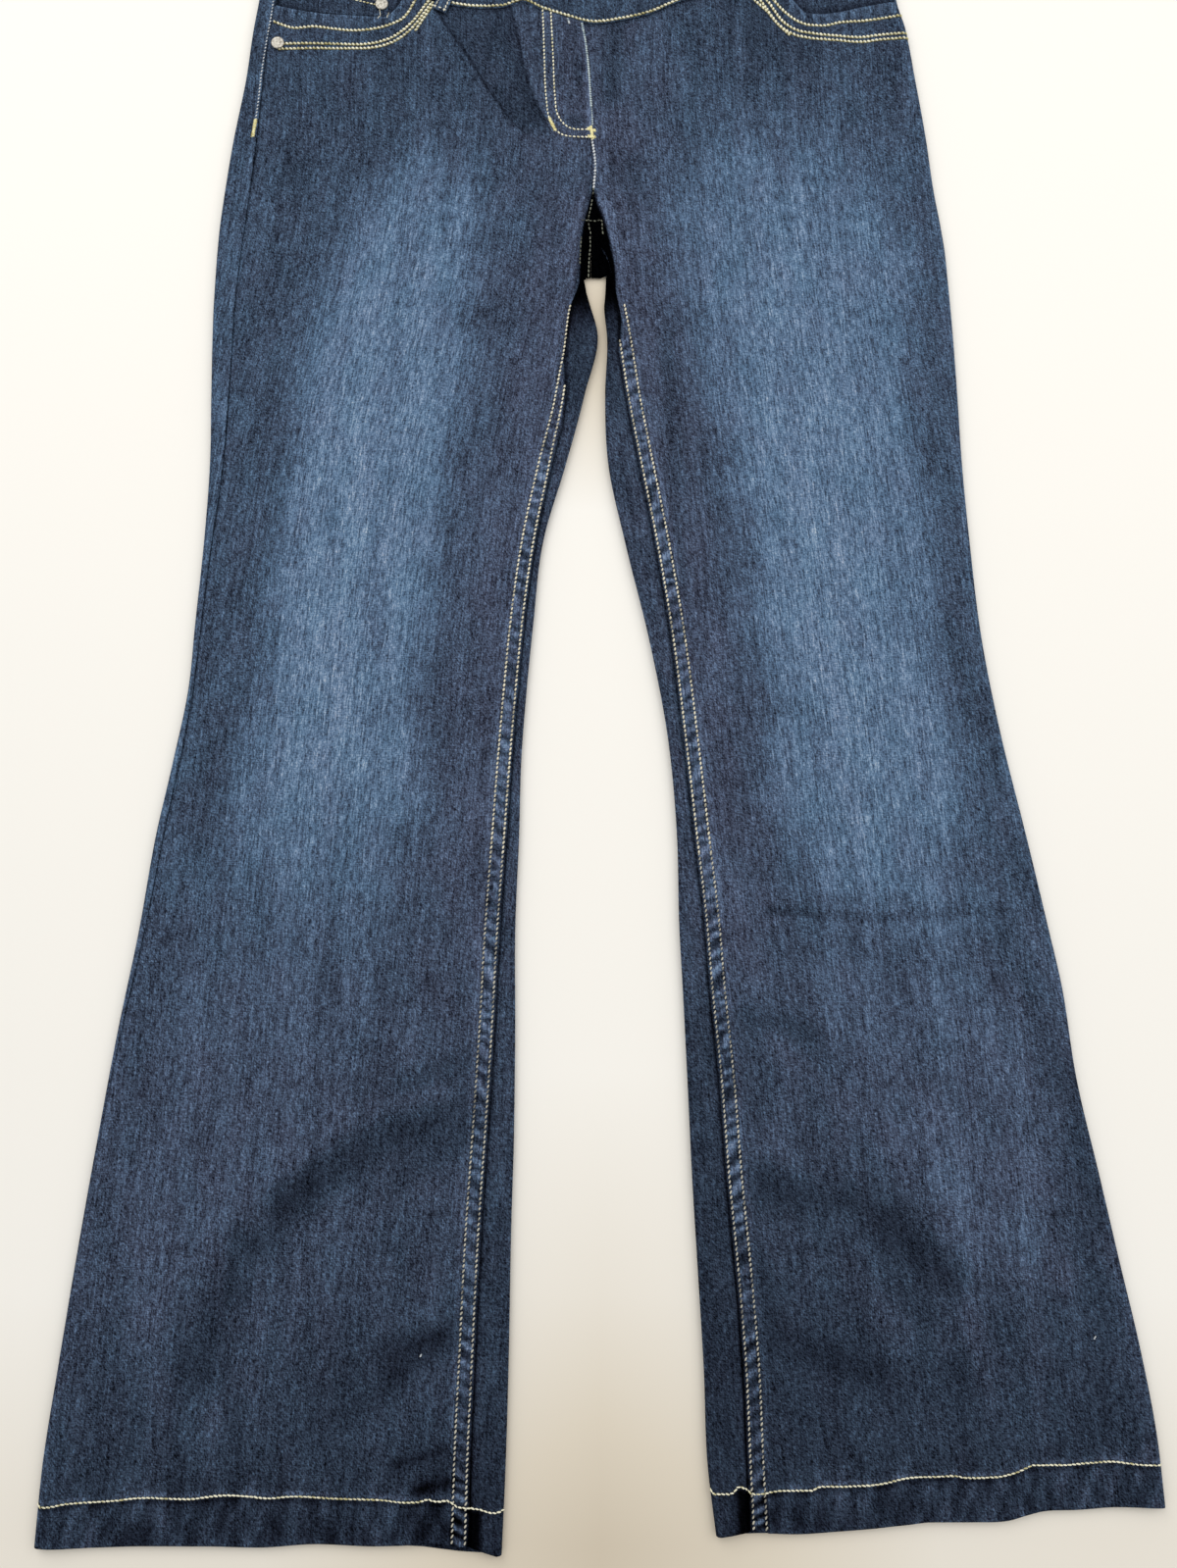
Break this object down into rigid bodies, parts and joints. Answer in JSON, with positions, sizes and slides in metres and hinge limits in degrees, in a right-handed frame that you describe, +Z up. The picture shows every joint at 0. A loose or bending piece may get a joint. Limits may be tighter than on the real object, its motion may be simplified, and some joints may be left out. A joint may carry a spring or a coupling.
{
  "type": "maternity jeans",
  "caption": "Boot-cut denim trousers with a scooped waist and soft belly band, laid flat with the front up.",
  "frame": {"origin": "centre of the bounding box on the surface that the jeans lie on", "axes": "+X to the wearer's left, +Y up the garment to the waist, +Z up from the surface through the back and front layers"},
  "size_m": [0.6075, 1.1055, 0.0072],
  "materials": {
    "denim": "dark indigo stretch twill, faded along the thighs",
    "jersey": "dark ribbed stretch jersey",
    "nickel": "worn satin nickel"
  },
  "bodies": {
    "root": {"front_right": "denim", "front_left": "denim", "back_right": "denim", "back_left": "denim", "fly": "denim", "pocket_facing_right": "denim", "pocket_facing_left": "denim", "coin_pocket": "denim", "waistband_front": "denim", "waistband_back": "denim", "belt_loop_right": "denim", "belt_loop_left": "denim", "belly_band_front": "jersey", "belly_band_back": "jersey", "rivet_side": "nickel", "rivet_coin": "nickel"}
  },
  "joints": []
}
